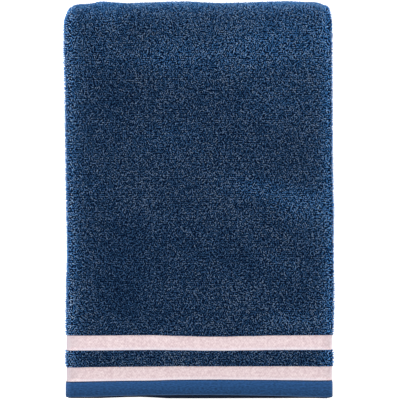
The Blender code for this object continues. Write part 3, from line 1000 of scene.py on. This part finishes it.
@dataclass(frozen=True)
class ClothSheet:
    """The cloth itself: one closed sheet with an outer and an inner face."""

    cloth: FoldedCloth
    name: str = "towel_cloth"
    ground_half: float = 0.55 * MM
    flat_step: float = 8.0 * MM
    hidden_step: float = 12.0 * MM
    middle_step: float = 7 * MM
    stripe_step: float = 3.4 * MM
    side_turns: tuple[int, int] = (11, 15)
    end_turns: tuple[int, int, int] = (27, 17, 11)
    side_edge: tuple[float, ...] = (0, 0.2, 0.6, 1.3, 3.5, 7.5, 8.6, 9.4, 10.5)
    end_edge: tuple[float, ...] = (0, 0.2, 0.6, 1.3, 2.2)
    beside_stitches: tuple[float, ...] = (-0.9, -0.5, -0.2, 0.1, 0.4)
    beside_border: tuple[float, ...] = (-0.4, 0.0, 0.4, 0.9)
    border_width: float = 0.8 * MM
    rim_share: float = 0.25
    stitch_line: float = 14.1 * MM
    stitch_depth: float = 0.5 * MM
    stitch_width: float = 0.4 * MM
    # painted highlights along the hem's turned edge and the bands' lower borders
    turned_edge_highlight: tuple[float, float] = (0.35, 0.7 * MM)
    band_edge_highlight: tuple[float, float] = (0.75, 0.65 * MM)
    band_highlight_place: float = 0.6 * MM
    # painted shade on the hem's ends and on the lower hem, under the upper one
    hem_shade: float = 0.2
    under_shade: tuple[float, float] = (0.25, 0.55)
    under_fade: float = 4 * MM

    def columns(self) -> np.ndarray:
        """Places across the cloth: close at its edges and in its side folds."""
        cloth = self.cloth
        inner, tight, middle, outer = cloth.across_breaks[1:]
        edge = np.array(self.side_edge) * MM
        return merged((
            edge,
            spread(edge[-1], inner, self.hidden_step),
            np.linspace(inner, tight, self.side_turns[0]),
            spread(tight, middle, self.middle_step),
            np.linspace(middle, outer, self.side_turns[1]),
            spread(outer, cloth.width - edge[-1], self.hidden_step),
            cloth.width - edge[::-1],
        ))

    def rows(self) -> np.ndarray:
        """Places along the cloth: close at the stripes' borders and in its folds."""
        breaks, borders = self.cloth.along_breaks, self.cloth.stripe_borders
        edge = np.array(self.end_edge) * MM
        groove = self.stitch_line + np.array(self.beside_stitches) * MM
        steps = np.add.outer(borders[1:], np.array(self.beside_border) * MM).ravel()
        wide = np.concatenate([
            spread(low, high, self.stripe_step)[1:-1] for low, high in zip(borders, borders[1:])
        ])
        end = np.unique(np.concatenate([edge, groove, steps, wide[wide > edge[-1]]]))
        parts = [end, spread(end[-1], breaks[1], self.flat_step)]
        for fold, count in zip((1, 3, 5), self.end_turns):
            after = breaks[fold + 2] - (end[-1] if fold == 5 else 0)
            parts.append(np.linspace(breaks[fold], breaks[fold + 1], count))
            parts.append(spread(breaks[fold + 1], after, self.hidden_step))
        return merged((*parts, breaks[7] - end[::-1]))

    def half_thickness(
        self, across: np.ndarray, along: np.ndarray, pile_half: np.ndarray
    ) -> np.ndarray:
        """Half the cloth's thickness: a step at each border, a groove at the stitch
        line, thin side hems, and all edges rounded as a quarter ellipse.

        Args:
            across: place across the cloth.
            along: place along it.
            pile_half: the half thickness of the pile there.

        Returns:
            The distance from the cloth's middle to its face.
        """
        cloth = self.cloth
        end = cloth.from_end(along)
        side = np.minimum(across, cloth.width - across)
        pile_half = np.where(side < cloth.side_hem, np.minimum(pile_half, cloth.hem_half), pile_half)
        half = pile_half
        for stripe, low, high in zip(cloth.stripes, cloth.stripe_borders, cloth.stripe_borders[1:]):
            inside = smooth((high - end) / self.border_width + 0.5)
            if low:
                inside = inside * smooth((end - low) / self.border_width + 0.5)
            level = pile_half if stripe.weave is Weave.PILE else stripe.half_thickness
            half = half + (level - half) * inside
        half = half - self.stitch_depth * bell(end - self.stitch_line, self.stitch_width)
        for distance in (end, side):
            share = np.clip(distance / cloth.hem_half, 0, 1)
            half = half * (self.rim_share + (1 - self.rim_share) * np.sqrt(1 - (1 - share) ** 2))
        return half

    def painted_edge_light(self, across: np.ndarray, along: np.ndarray) -> np.ndarray:
        """The painted light and shade of the finishes along their edges: a painted
        highlight along the bands' lower borders and the hem's turned edge, and
        painted shade at the stripes' ends at the sides and on the lower hem.

        Args:
            across: place across the cloth.
            along: place along it.

        Returns:
            -1 to 1.
        """
        cloth = self.cloth
        end = cloth.from_end(along)
        borders = cloth.stripe_borders
        # painted highlights along the hem's turned edge and the bands' lower borders
        strength, width = self.turned_edge_highlight
        tone = np.where(along < cloth.length / 2, strength * bell(end, width), 0)
        strength, width = self.band_edge_highlight
        for low in (borders[1], borders[3]):
            tone = tone + strength * bell(end - low - self.band_highlight_place, width)
        # painted shade at the stripes' ends at the sides, on the hem's ends and on the lower hem
        side = cloth.from_side(across)
        wrapped, tight = (eased(side, SIDE_SHADE[:, 0] * MM, SIDE_SHADE[:, i]) for i in (1, 2))
        shade = np.where(across < cloth.across_breaks[2:4].mean(), tight, wrapped)
        shade = np.where(end < borders[1], self.hem_shade * shade, shade)
        under = self.under_shade[0] + self.under_shade[1] * np.exp(-end / self.under_fade)
        shade = np.where((end < borders[1]) & (along > cloth.length / 2), under, shade)
        return np.clip(tone * (1 - shade) - shade, -1, 1)

    def build(self) -> bpy.types.Object:
        """Makes the sheet: a grid for each face, and a rim of quads between them.

        Returns:
            The piece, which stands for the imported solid.
        """
        cloth = self.cloth
        rows, columns = self.rows(), self.columns()
        along, across = (grid.ravel() for grid in np.meshgrid(rows, columns, indexing="ij"))
        planted = cloth.planted(across, along)
        pile_half = np.full(along.shape, cloth.pile / 2)
        outer = self.half_thickness(across, along, pile_half + (self.ground_half - pile_half) * planted)
        inner = self.half_thickness(across, along, pile_half)
        points = np.concatenate([cloth.place(across, along, outer), cloth.place(across, along, -inner)])

        number = np.arange(along.size).reshape(len(rows), len(columns))
        back = number + number.size
        face_out = quads(number[:-1, :-1], number[1:, :-1], number[1:, 1:], number[:-1, 1:])
        face_in = quads(back[:-1, :-1], back[:-1, 1:], back[1:, 1:], back[1:, :-1])
        rims = [
            quads(number[:-1, 0], back[:-1, 0], back[1:, 0], number[1:, 0]),
            quads(number[:-1, -1], number[1:, -1], back[1:, -1], back[:-1, -1]),
            quads(number[0, :-1], number[0, 1:], back[0, 1:], back[0, :-1]),
            quads(number[-1, :-1], back[-1, :-1], back[-1, 1:], number[-1, 1:]),
        ]
        # The map: the outer face in its left half, the inner one in its right, rims in between
        u, v = 0.01 + 0.48 * across / cloth.width, 0.01 + 0.98 * along / rows[-1]
        both = np.concatenate([np.stack([u, v], -1), np.stack([u + 0.5, v], -1)])
        corner_uv = [both[face_out.ravel()], both[face_in.ravel()]]
        margins = ((0, 0.002, 0.008), (0, 0.492, 0.498), (1, 0.002, 0.008), (1, 0.992, 0.998))
        for rim, (axis, near, far) in zip(rims, margins):
            spots = both[rim.ravel() % number.size]
            spots[:, axis] = np.where(rim.ravel() < number.size, near, far)
            corner_uv.append(spots)

        finishes = [finish.build() for finish in (GroundFinish(), BandFinish(), HemFinish())]
        faces = [face_out, face_in, *rims]
        piece = make_piece(self.name, points, faces, np.concatenate(corner_uv), finishes)
        mesh = piece.data
        places = [np.stack([across, along, loops], -1) for loops in (planted, 0 * planted)]
        attribute = mesh.attributes.new("cloth_place", "FLOAT_VECTOR", "POINT")
        attribute.data.foreach_set("vector", np.concatenate(places).astype(np.float32).ravel())
        attribute = mesh.attributes.new("painted_edge_light", "FLOAT", "POINT")
        attribute.data.foreach_set("value", np.tile(self.painted_edge_light(across, along), 2).astype(np.float32))
        between, gaps = (rows[:-1] + rows[1:]) / 2, len(columns) - 1
        middles = cloth.from_end(np.concatenate([
            np.tile(np.repeat(between, gaps), 2), np.tile(between, 2), np.zeros(2 * gaps),
        ]))
        which = np.searchsorted(cloth.stripe_borders, middles, side="right") - 1
        kinds = np.array([stripe.weave.value for stripe in cloth.stripes] + [Weave.PILE.value])
        mesh.polygons.foreach_set("material_index", kinds[which].astype(np.int32))
        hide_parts(NODE)
        return piece


@dataclass(frozen=True)
class Patch:
    """A part of the cloth's outer face that carries loops, with how much its
    surface is longer there than the cloth's middle."""

    piece: str
    across: tuple[float, float]
    along: tuple[float, float]
    stretch_across: float = 1.0
    stretch_along: float = 1.0


@dataclass(frozen=True)
class TerryPile:
    """The loops of the pile: short arches of round yarn, leaning all ways. They
    stand a little further apart than real ones, 1 to 1.5 mm, so that they show."""

    cloth: FoldedCloth
    spacing: float = 1.7 * MM
    side_spacing: float = 2.0 * MM
    side_margin: float = 0.4 * MM
    row_margin: float = 0.3
    jitter: float = 0.18
    yarn_radius: float = 0.34 * MM
    root_lift: float = 0.4 * MM
    probe: float = 0.3 * MM
    least_height: float = 0.05 * MM
    height: tuple[float, float] = (1.2 * MM, 1.7 * MM)
    beside_stripe: float = 2.4 * MM
    beside_height: float = 0.65
    nap_patches: tuple[float, int] = (60 * MM, 31)
    nap_spread: float = 1.4
    lean: tuple[float, float] = (0.05, 0.6)
    width: tuple[float, float] = (0.8, 1.15)
    twist: float = 0.35
    tip: float = 0.25
    thickness: tuple[float, float] = (0.88, 1.12)
    reach: tuple[float, ...] = (-0.64 * MM, -0.54 * MM, 0.54 * MM, 0.64 * MM)
    rise: tuple[float, ...] = (0.0, 1.0, 1.0, 0.0)
    girth: tuple[float, ...] = (0.9, 1.05, 1.05, 0.9)
    tone: float = 0.47
    tone_patches: tuple[tuple[float, float, int], ...] = ((0.01, 9 * MM, 41), (0.05, 30 * MM, 42))
    tone_spread: float = 0.25
    # painted shade in the dents, for each millimetre of depth
    painted_dent_shade: float = 0.13
    # painted highlight along the left roll's crest: strength, place in from the side, width
    painted_crest_highlight: tuple[float, float, float] = (0.18, 5.5 * MM, 1.9 * MM)
    # painted rim highlight added on ridges, its spread from loop to loop, and its share on the lower rims
    painted_ridge_light: float = 0.42
    most_rise: float = 1.2
    rim_light_spread: float = 0.07
    low_rims: float = 0.45
    rim_height: tuple[float, float] = (0.55, 0.2)
    seed: int = 11

    def patches(self) -> list[Patch]:
        """All the parts that carry loops, by the piece that they go into.

        Returns:
            The parts. Each stretch is the length of the surface over that of the
            cloth's middle, round the fold that the part lies on.
        """
        cloth = self.cloth
        _, tight, flat, wrap, outer = cloth.across_breaks
        back, bottom, front, second, _, lower, end = cloth.along_breaks[1:]
        low, high, start = cloth.stripe_borders[2:]
        cuts = np.linspace(flat, wrap, 4)
        made = [
            Patch(f"towel_pile_top_{part}", (cuts[i], cuts[i + 1]), (start, back))
            for i, part in enumerate(("right", "middle", "left"))
        ]
        made += [
            Patch("towel_pile_back", (flat, wrap), (back, cloth.loops_end), 1.0, 1.28),
            Patch("towel_pile_front", (flat, wrap), (low, high)),
            Patch("towel_pile_front", (flat, wrap), (front, second), 1.0, 1.85),
        ]
        layers = (
            (start, back), (bottom, front), (second, lower), (lower, end - start),
            (end - high, end - low),
        )
        for side, across, stretch in (
            ("right", (tight + self.side_margin, flat), 1.55),
            ("left", (wrap, outer - self.side_margin), 1.28),
        ):
            made += [
                Patch("towel_pile_back", across, (back, bottom), stretch, 1.1),
                Patch("towel_pile_front", across, (low, high), stretch),
                Patch("towel_pile_front", across, (front, second), stretch, 1.2),
            ]
            made += [Patch(f"towel_pile_{side}", across, along, stretch) for along in layers]
        return made

    def plant(self, patch: Patch, random: np.random.Generator) -> tuple[np.ndarray, np.ndarray]:
        """Sets loops out over a patch: rows a spacing apart, every other one half
        a spacing along, each loop off its place by a small share of the spacing.

        Args:
            patch: where.
            random: the source of chance.

        Returns:
            The loops' places across and along the cloth.
        """
        wide = patch.across[1] - patch.across[0]
        long = patch.along[1] - patch.along[0]
        spacing = self.side_spacing if patch.stretch_across > 1 else self.spacing
        columns = max(2, round(wide * patch.stretch_across / spacing))
        rows = max(2, round(long * patch.stretch_along / spacing))
        row, column = np.indices((rows, columns)).reshape(2, -1)
        shift = 0.25 + 0.5 * (row % 2)
        jitter = random.uniform(-self.jitter, self.jitter, (2, row.size))
        across = patch.across[0] + wide * (column + shift + jitter[0]) / columns
        place = np.clip(row + 0.5 + jitter[1], self.row_margin, rows - self.row_margin)
        along = patch.along[0] + long * place / rows
        return across, along

    def build_loops(
        self, name: str, across: np.ndarray, along: np.ndarray, yarn: bpy.types.Material
    ) -> bpy.types.Object:
        """Makes the loops of one piece.

        A loop's middle line has four points, two roots and two shoulders, leaned
        over, twisted and tipped a little. A triangle of points is carried along
        it, one corner outwards.

        Args:
            name: the piece's name.
            across: the loops' places across the cloth.
            along: their places along it.
            yarn: the finish.

        Returns:
            The piece.
        """
        cloth, count = self.cloth, len(across)
        random = np.random.default_rng(self.seed + count)
        base = cloth.place(across, along, self.root_lift)
        up = unit(cloth.place(across, along, self.root_lift + MM) - base)
        tangent = squared(unit(cloth.place(across + self.probe, along, self.root_lift) - base), up)
        other = np.cross(up, tangent)

        def direction(angle: np.ndarray) -> np.ndarray:
            """A unit vector in the cloth's surface, at an angle from across."""
            return tangent * np.cos(angle)[:, None] + other * np.sin(angle)[:, None]

        heading = direction(random.uniform(0, 2 * np.pi, count))
        nap = 2 * np.pi * soft_noise(across, along, *self.nap_patches)
        nap = nap + random.normal(0, self.nap_spread, count)
        lean = random.uniform(*self.lean, count)
        from_stripe = np.abs(cloth.from_end(along)[:, None] - cloth.stripe_borders[2:]).min(axis=1)
        share = self.beside_height + (1 - self.beside_height) * smooth(from_stripe / self.beside_stripe)
        height = random.uniform(*self.height, count) * share
        width = random.uniform(*self.width, count)
        twist = random.uniform(-self.twist, self.twist, count) * MM
        tip = random.uniform(-self.tip, self.tip, count)
        leaned = unit(up * np.cos(lean)[:, None] + direction(nap) * np.sin(lean)[:, None])
        heading = squared(heading, leaned)
        flank = np.cross(heading, leaned)

        reach, rise = np.array(self.reach), np.array(self.rise)
        tipped = height[:, None] * rise * (1 + tip[:, None] * np.sign(reach))
        centre = (
            base[:, None]
            + heading[:, None] * (width[:, None] * reach)[..., None]
            + leaned[:, None] * tipped[..., None]
            + flank[:, None] * (twist[:, None] * reach / self.reach[-1])[..., None]
        )
        course = unit(np.gradient(centre, axis=1))
        outward = unit(np.cross(flank[:, None], course))
        flank = np.cross(course, outward)
        thickness = self.yarn_radius * random.uniform(*self.thickness, count)
        radius = thickness[:, None, None] * np.array(self.girth)[:, None]
        points = np.stack([
            centre + radius * (outward * np.cos(turn) + flank * np.sin(turn))
            for turn in 2 * np.pi * np.arange(3) / 3
        ], 2)

        kept = points[..., 2].min(axis=(1, 2)) > self.least_height
        tone, painted_rim_light = self.shades(across, along, base, random)
        faces, corner_uv = self.loop_faces(tone[kept], painted_rim_light[kept])
        return make_piece(name, points[kept].reshape(-1, 3), faces, corner_uv, [yarn])

    def shades(
        self, across: np.ndarray, along: np.ndarray, base: np.ndarray, random: np.random.Generator
    ) -> tuple[np.ndarray, np.ndarray]:
        """Each loop's tone and its share of painted rim highlight.

        The tone differs at random and in slow patches, a dent darkens it with painted
        shade, and the crest of the left roll, a few millimetres in, takes a painted
        highlight. The painted rim highlight is strongest at the stack's upper rims,
        weaker on the lower ones, fades inwards, and is added on ridges.

        Args:
            across: the loops' places across the cloth.
            along: their places along it.
            base: where they stand.
            random: the source of chance.

        Returns:
            The tones and the shares of painted rim highlight, each from about 0 to 1.
        """
        tone = self.tone
        for strength, size, seed in self.tone_patches:
            tone = tone + strength * soft_noise(across, along, size, seed)
        rise = self.cloth.dent(base[:, 0], base[:, 1]) / MM
        # painted shade in the dents
        tone = tone + self.painted_dent_shade * np.minimum(rise, 0)
        tone = tone + random.uniform(-self.tone_spread, self.tone_spread, len(across))
        from_side = self.cloth.from_side(across)
        # a painted highlight along the crest of the left roll
        strength, place, width = self.painted_crest_highlight
        tone = tone + strength * np.where(base[:, 0] < 0, bell(from_side - place, width), 0)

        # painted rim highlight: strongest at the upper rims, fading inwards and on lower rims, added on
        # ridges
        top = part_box(NODE)[1]
        side, back = (
            eased(inwards, RIM_HIGHLIGHT[:, 0] * MM, RIM_HIGHLIGHT[:, i])
            for i, inwards in ((1, from_side), (2, top.y - base[:, 1]))
        )
        low, fade = self.rim_height
        upper = self.low_rims + (1 - self.low_rims) * smooth((base[:, 2] / top.z - low) / fade)
        painted_rim_light = upper * np.maximum(side, back) + self.painted_ridge_light * np.clip(rise, 0, self.most_rise)
        painted_rim_light = painted_rim_light + random.uniform(-self.rim_light_spread, self.rim_light_spread, len(across))
        return tone, painted_rim_light

    def loop_faces(
        self, tone: np.ndarray, painted_rim_light: np.ndarray
    ) -> tuple[list[np.ndarray], np.ndarray]:
        """The faces and the map of loops that follow each other in a mesh.

        Args:
            tone: each loop's tone, from 0 to 1.
            painted_rim_light: each loop's share of painted rim highlight, from 0 to 1.

        Returns:
            The faces, as quads and end triangles, and the corners' map.
        """
        rings, count = len(self.reach), len(tone)
        ring, side = np.indices((rings - 1, 3)).reshape(2, -1)
        after = (side + 1) % 3
        quad = 3 * ring[:, None] + np.stack([side, after, 3 + after, 3 + side], -1)
        last = 3 * (rings - 1)
        cap = np.array([[0, 2, 1], [last, last + 1, last + 2]])
        step = 3 * rings * np.arange(count)[:, None, None]
        faces = [(quad + step).reshape(-1, 4), (cap + step).reshape(-1, 3)]
        # Along the loop one way; the other way its band, a third of it for each side
        length = np.linspace(0.04, 0.96, rings)
        quad_u = length[np.stack([ring, ring, ring + 1, ring + 1], -1)]
        quad_v = np.stack([side, side + 1, side + 1, side], -1) / 3
        cap_u = np.array([[0.04, 0.02, 0.02], [0.96, 0.98, 0.98]])
        cap_v = np.array([[0, 2 / 3, 1 / 3], [0, 1 / 3, 2 / 3]])
        tones, levels = YarnFinish.tones, YarnFinish.painted_rim_light
        bands = tones * levels
        level = np.clip(np.round(painted_rim_light * (levels - 1)), 0, levels - 1)
        band = (level * tones + np.clip(np.floor(tone * tones), 0, tones - 1))[:, None, None]
        corner_uv = []
        for u, v in ((quad_u, quad_v), (cap_u, cap_v)):
            v = (band + 0.08 + 0.84 * v) / bands
            corner_uv.append(np.stack(np.broadcast_arrays(u[None], v), -1).reshape(-1, 2))
        return faces, np.concatenate(corner_uv)

    def build(self) -> list[bpy.types.Object]:
        """Makes every piece of the pile."""
        yarn = YarnFinish().build()
        random = np.random.default_rng(self.seed)
        places: dict[str, list[tuple[np.ndarray, np.ndarray]]] = {}
        for patch in self.patches():
            places.setdefault(patch.piece, []).append(self.plant(patch, random))
        return [
            self.build_loops(name, *(np.concatenate(both) for both in zip(*spots)), yarn)
            for name, spots in places.items()
        ]


@dataclass(frozen=True)
class HemStitching:
    """A row of lockstitches that holds the upper hem down."""

    cloth: FoldedCloth
    sheet: ClothSheet
    name: str = "towel_hem_stitching"
    stitch: float = 2.9 * MM
    gap: float = 0.5 * MM
    overhang: tuple[float, float] = (4 * MM, 8 * MM)
    thread_radius: float = 0.22 * MM
    arch: tuple[float, float] = (2.2, 1.2)
    end_girth: float = 0.4
    sides: int = 6
    rings: int = 7

    def build(self) -> bpy.types.Object:
        """Makes the stitches: a round thread carried along a low arch that dips
        into the cloth at both ends.

        Returns:
            The piece.
        """
        cloth = self.cloth
        flat, wrap = cloth.across_breaks[2:4]
        before, after = self.overhang
        starts = np.arange(flat - before, wrap + after, self.stitch + self.gap)
        steps = np.linspace(0, 1, self.rings)
        across = starts[:, None] + self.stitch * steps
        along = np.full(across.shape, self.sheet.stitch_line)
        lift = self.sheet.half_thickness(across, along, np.full(across.shape, cloth.pile / 2))
        lift = lift + self.thread_radius * (self.arch[0] * np.sin(np.pi * steps) - self.arch[1])
        centre = cloth.place(across, along, lift)
        up = unit(cloth.place(across, along, lift + MM) - centre)
        course = unit(np.gradient(centre, axis=1))
        flank = unit(np.cross(course, up))
        up = np.cross(flank, course)
        turn = 2 * np.pi * np.arange(self.sides) / self.sides
        girth = np.where((steps == 0) | (steps == 1), self.end_girth, 1.0)[:, None, None]
        radius = self.thread_radius * girth
        ring = up[:, :, None] * np.cos(turn)[:, None] + flank[:, :, None] * -np.sin(turn)[:, None]
        points = centre[:, :, None] + radius * ring
        number = np.arange(points[..., 0].size).reshape(points.shape[:3])
        after = np.roll(number, -1, axis=2)
        walls = quads(number[:, :-1], number[:, 1:], after[:, 1:], after[:, :-1])
        caps = np.concatenate([number[:, 0], number[:, -1, ::-1]])
        # The map: along the stitch one way and round it the other, where a turn is under 7
        spots = np.stack(np.meshgrid(steps, turn / 7, indexing="ij"), -1).reshape(-1, 2)
        uv = 0.05 + 0.9 * np.tile(spots, (len(starts), 1))
        corner_uv = uv[np.concatenate([walls.ravel(), caps.ravel()])]
        return make_piece(
            self.name, points.reshape(-1, 3), [walls, caps], corner_uv, [ThreadFinish().build()]
        )


@dataclass(frozen=True)
class Studio:
    """A white table under soft light, seen from straight above."""

    camera_height: float = 1.8
    view_width: float = 359.2 * MM
    view_plane: float = 42 * MM
    centre: tuple[float, float] = (0.9 * MM, -1.0 * MM)
    sensor: float = 36.0
    floor_half: float = 6.0
    floor_colour: str = "#F4F4F4"
    floor_roughness: float = 0.9
    floor_glow: float = 0.6
    world_strength: float = 0.3
    lights: tuple[tuple[str, tuple[float, float, float], float, float], ...] = (
        ("overhead", (0, 0.3, 2.6), 2.2, 31),
        ("left box", (-1.5, 0.1, 0.32), 0.6, 24),
        ("right box", (1.5, 0.1, 0.32), 0.6, 18),
        ("back box", (0, 1.6, 0.4), 0.8, 15),
        ("front box", (0, -1.6, 0.6), 1.2, 7),
    )

    def build(self) -> None:
        """Makes the floor, the lights, the world and the camera."""
        scene = bpy.context.scene
        scene.view_settings.view_transform = "Standard"
        self.make_floor()
        self.make_world()
        for light in self.lights:
            self.make_light(*light)
        camera = bpy.data.objects.new("camera", bpy.data.cameras.new("camera"))
        scene.collection.objects.link(camera)
        camera.location = (*self.centre, self.camera_height)
        camera.data.sensor_width = self.sensor
        camera.data.lens = self.sensor * (self.camera_height - self.view_plane) / self.view_width
        camera.data.clip_end = 40
        scene.camera = camera

    def make_floor(self) -> None:
        """A plain white table top that glows a little, as a lit one does."""
        mesh = bpy.data.meshes.new("floor")
        corners = self.floor_half * np.array([(-1, -1, 0), (1, -1, 0), (1, 1, 0), (-1, 1, 0)])
        mesh.from_pydata(corners.tolist(), [], [(0, 1, 2, 3)])
        material, shader, _ = new_material("white table top")
        set_inputs(shader, {
            "Base Color": linear(self.floor_colour),
            "Roughness": self.floor_roughness,
            "Emission Color": (1, 1, 1, 1),
            "Emission Strength": self.floor_glow,
        })
        mesh.materials.append(material)
        floor = bpy.data.objects.new("floor", mesh)
        bpy.context.scene.collection.objects.link(floor)

    def make_world(self) -> None:
        """An even white surround."""
        world = bpy.data.worlds.new("studio")
        world.use_nodes = True
        background = world.node_tree.nodes["Background"]
        set_inputs(background, {"Color": (1, 1, 1, 1), "Strength": self.world_strength})
        bpy.context.scene.world = world

    def make_light(
        self, name: str, place: tuple[float, float, float], size: float, power: float
    ) -> None:
        """A square soft box turned towards the towel.

        Args:
            name: the light's name.
            place: where it hangs.
            size: the length of its side.
            power: in watts.
        """
        lamp = bpy.data.lights.new(name, "AREA")
        lamp.size = size
        lamp.energy = power
        light = bpy.data.objects.new(name, lamp)
        light.location = place
        light.rotation_euler = (-light.location).to_track_quat("-Z", "Y").to_euler()
        bpy.context.scene.collection.objects.link(light)


def main() -> None:
    """Builds the towel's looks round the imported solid."""
    logging.basicConfig(level=logging.INFO, format="%(name)s: %(message)s")
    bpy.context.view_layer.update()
    cloth = FoldedCloth()
    Studio().build()
    sheet = ClothSheet(cloth)
    towel = sheet.build()
    pile = TerryPile(cloth).build()
    stitching = HemStitching(cloth, sheet).build()


if __name__ == "__main__":
    main()
